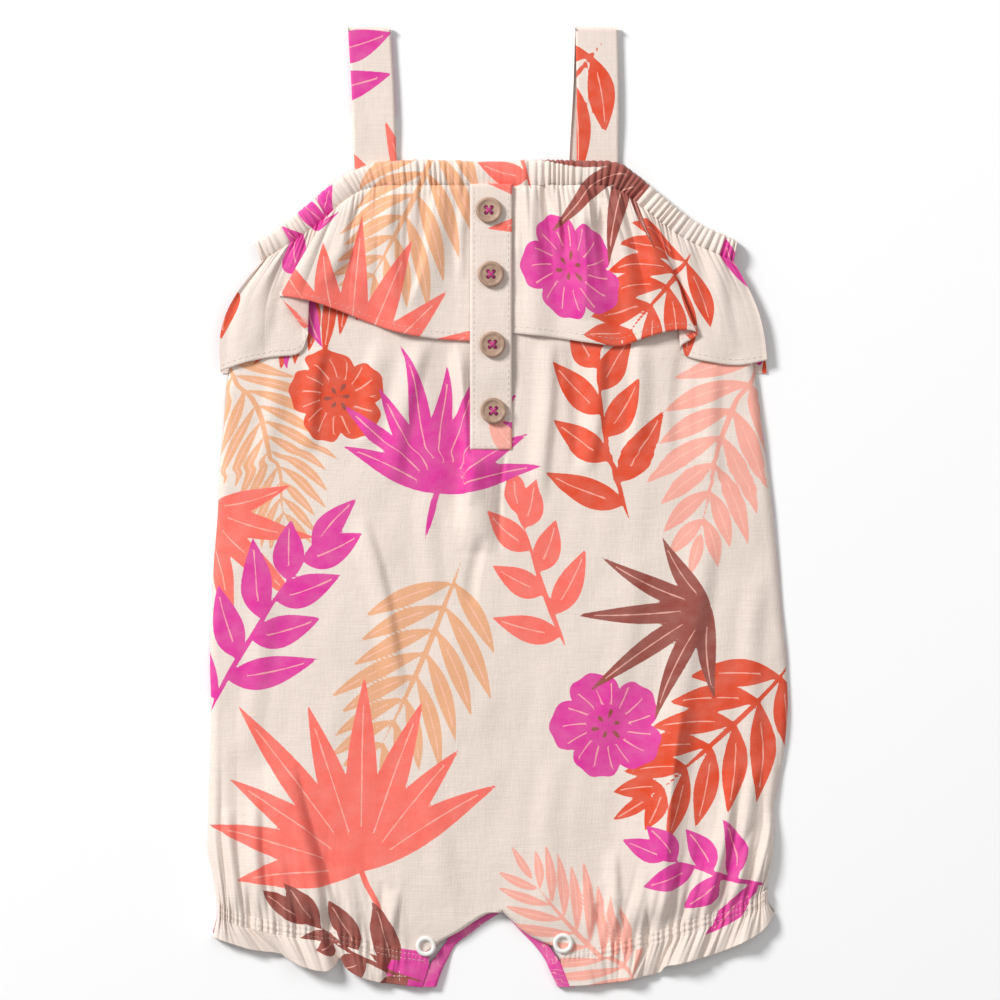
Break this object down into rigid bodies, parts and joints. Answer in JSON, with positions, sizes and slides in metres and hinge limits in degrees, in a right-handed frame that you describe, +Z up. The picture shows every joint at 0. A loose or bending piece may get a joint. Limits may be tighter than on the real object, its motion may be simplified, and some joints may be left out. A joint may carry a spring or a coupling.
{
  "type": "baby romper",
  "caption": "Sleeveless baby romper laid flat: shoulder straps, gathered neck, chest ruffle, button placket, bubble legs with gathered, frilled leg ends.",
  "frame": {"origin": "bottom centre of the bounding box, on the surface that the laid romper rests on", "axes": "+Z up from that surface, +Y from the leg ends to the straps, +X to the right as the front is seen"},
  "size_m": [0.2549, 0.4222, 0.0105],
  "materials": {
    "printed_cloth": "matte",
    "inseam_cloth": "matte",
    "button": "matte",
    "snap": "satin"
  },
  "bodies": {
    "root": {"front_panel": "printed_cloth", "back_panel": "printed_cloth", "front_ruffle_left": "printed_cloth", "front_ruffle_right": "printed_cloth", "back_ruffle": "printed_cloth", "neck_casing_front": "printed_cloth", "back_casing": "printed_cloth", "armhole_casing_left": "printed_cloth", "armhole_casing_right": "printed_cloth", "button_placket": "printed_cloth", "strap_left": "printed_cloth", "strap_right": "printed_cloth", "leg_casing_left": "printed_cloth", "leg_casing_right": "printed_cloth", "leg_frill_left": "printed_cloth", "leg_frill_right": "printed_cloth", "inseam_placket": "inseam_cloth", "button_1": "button", "button_2": "button", "button_3": "button", "button_4": "button", "snap_left": "snap", "snap_right": "snap"}
  },
  "joints": []
}
